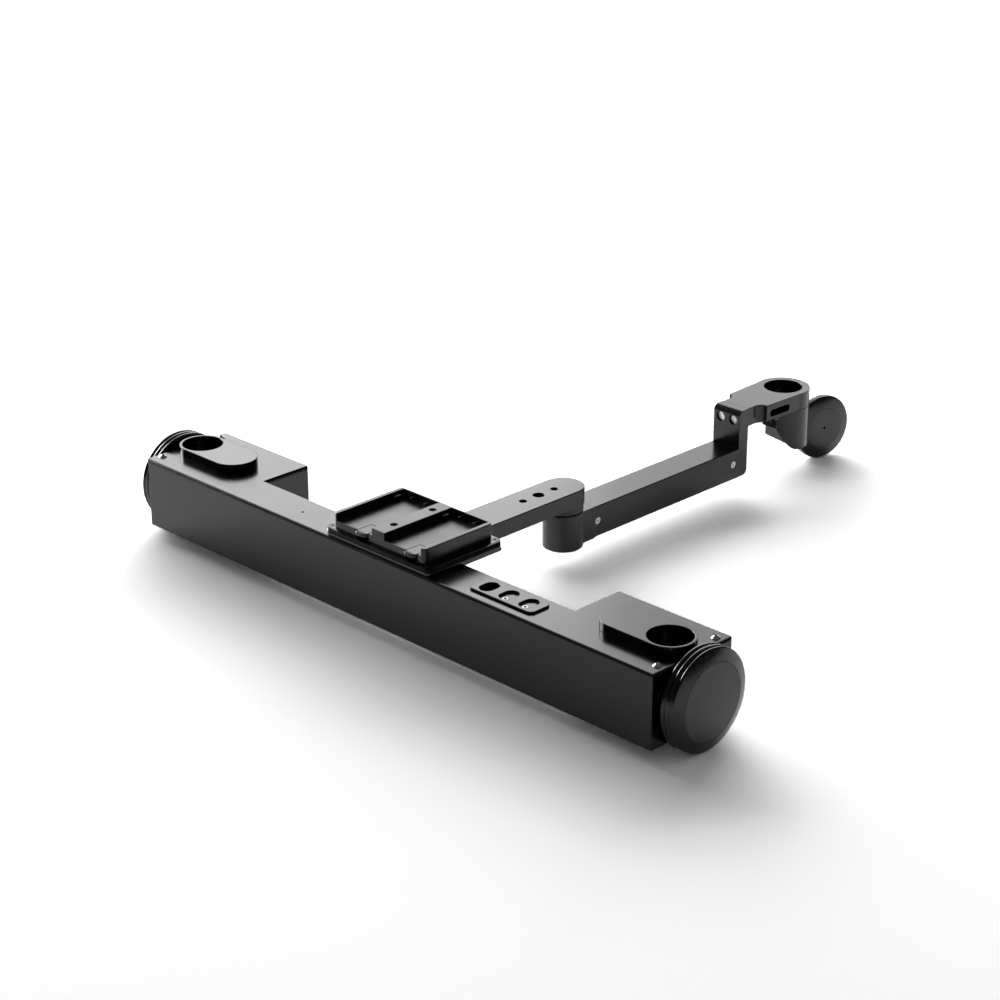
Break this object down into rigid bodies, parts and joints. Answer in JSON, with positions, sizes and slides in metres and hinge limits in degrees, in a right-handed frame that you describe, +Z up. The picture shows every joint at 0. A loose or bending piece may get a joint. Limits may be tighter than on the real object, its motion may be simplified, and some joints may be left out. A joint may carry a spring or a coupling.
{
  "type": "camera_dolly",
  "caption": "Motorized tabletop camera dolly: long drive box with side wheels and battery tray, jointed rear arm and trailing caster, with open cups that hold the feet of a tripod",
  "frame": {"origin": "middle of the footprint, on the floor", "axes": "X along the chassis towards its right wheel, Y from the front face back along the arm, Z up"},
  "size_m": [0.5978, 0.5658, 0.0891],
  "materials": {
    "anodised_aluminium": "satin black anodised",
    "moulded_tray": "fine satin black moulding",
    "screw_steel": "polished",
    "bright_steel": "bright drawn",
    "motor_steel": "plated",
    "mount_aluminium": "milled",
    "bronze": "machined",
    "rubber_black": "smooth semi-gloss",
    "wheel_plastic": "satin black",
    "board": "satin solder mask"
  },
  "bodies": {
    "chassis": {"chassis_shell": "anodised_aluminium", "chassis_lid": "anodised_aluminium", "end_plate_left": "anodised_aluminium", "end_plate_right": "anodised_aluminium", "end_screws": "screw_steel", "lid_screws": "screw_steel", "cup_housing_left": "anodised_aluminium", "cup_housing_right": "anodised_aluminium", "cup_screws": "screw_steel", "cup_pads": "rubber_black", "gear_motor_left": "motor_steel", "gear_motor_right": "motor_steel", "motor_mount_left": "mount_aluminium", "motor_mount_right": "mount_aluminium", "shaft_bearings": "bright_steel", "control_board": "board", "tray_flange": "anodised_aluminium", "flange_screws": "screw_steel", "under_plate": "anodised_aluminium", "battery_tray": "moulded_tray", "tray_screws": "screw_steel", "battery_hooks": "bright_steel", "battery_terminals": "bronze", "latch_spring_left": "bright_steel", "latch_spring_right": "bright_steel", "port_plate": "anodised_aluminium", "power_jack": "wheel_plastic", "jack_sockets": "bright_steel", "shoulder_bolt": "screw_steel", "shoulder_washers": "bronze"},
    "left_wheel": {"drive_shaft_left": "bright_steel", "wheel_hub_left": "wheel_plastic", "tyre_left": "rubber_black", "wheel_cap_left": "wheel_plastic"},
    "right_wheel": {"drive_shaft_right": "bright_steel", "wheel_hub_right": "wheel_plastic", "tyre_right": "rubber_black", "wheel_cap_right": "wheel_plastic"},
    "inner_arm": {"shoulder_bush": "bronze", "inner_arm": "anodised_aluminium", "elbow_collar": "anodised_aluminium", "elbow_bolt": "screw_steel"},
    "outer_arm": {"elbow_bushes": "bronze", "elbow_knuckle": "anodised_aluminium", "outer_tube": "anodised_aluminium", "tube_screws": "screw_steel", "upright_bracket": "anodised_aluminium", "bracket_screws": "screw_steel", "rear_head": "anodised_aluminium", "rear_pad": "rubber_black", "index_tab": "mount_aluminium"},
    "caster": {"steering_screw": "screw_steel", "thrust_washer": "bronze", "caster_body": "anodised_aluminium", "rear_axle": "screw_steel"},
    "rear_wheel": {"rear_bearing": "bright_steel", "rear_wheel": "rubber_black"},
    "left_latch": {"latch_left": "bright_steel"},
    "right_latch": {"latch_right": "bright_steel"}
  },
  "joints": [
    {"name": "left_drive", "type": "hinge", "parent": "chassis", "child": "left_wheel", "pos_m": [-0.29, -0.24009, 0.0393], "axis": [1, 0, 0], "continuous": true},
    {"name": "right_drive", "type": "hinge", "parent": "chassis", "child": "right_wheel", "pos_m": [0.29, -0.24009, 0.0393], "axis": [1, 0, 0], "continuous": true},
    {"name": "shoulder", "type": "hinge", "parent": "chassis", "child": "inner_arm", "pos_m": [0, -0.22689, 0.06], "axis": [0, 0, 1], "range_deg": [-72, 72]},
    {"name": "elbow", "type": "hinge", "parent": "inner_arm", "child": "outer_arm", "pos_m": [0, -0.07739, 0.04], "axis": [0, 0, -1], "range_deg": [-100, 100]},
    {"name": "steering", "type": "hinge", "parent": "outer_arm", "child": "caster", "pos_m": [0, 0.20361, 0.06], "axis": [0, 0, 1], "range_deg": [-128, 152]},
    {"name": "rear_axle", "type": "hinge", "parent": "caster", "child": "rear_wheel", "pos_m": [0.00557, 0.25385, 0.0292], "axis": [0.9781, -0.2079, 0], "continuous": true},
    {"name": "left_latch", "type": "slide", "parent": "chassis", "child": "left_latch", "axis": [0, 0, -1], "range_m": [0, 0.0012], "stiffness_N_per_m": 300, "springref_m": -0.003, "deforming": ["latch_spring_left"]},
    {"name": "right_latch", "type": "slide", "parent": "chassis", "child": "right_latch", "axis": [0, 0, -1], "range_m": [0, 0.0012], "stiffness_N_per_m": 300, "springref_m": -0.003, "deforming": ["latch_spring_right"]}
  ]
}
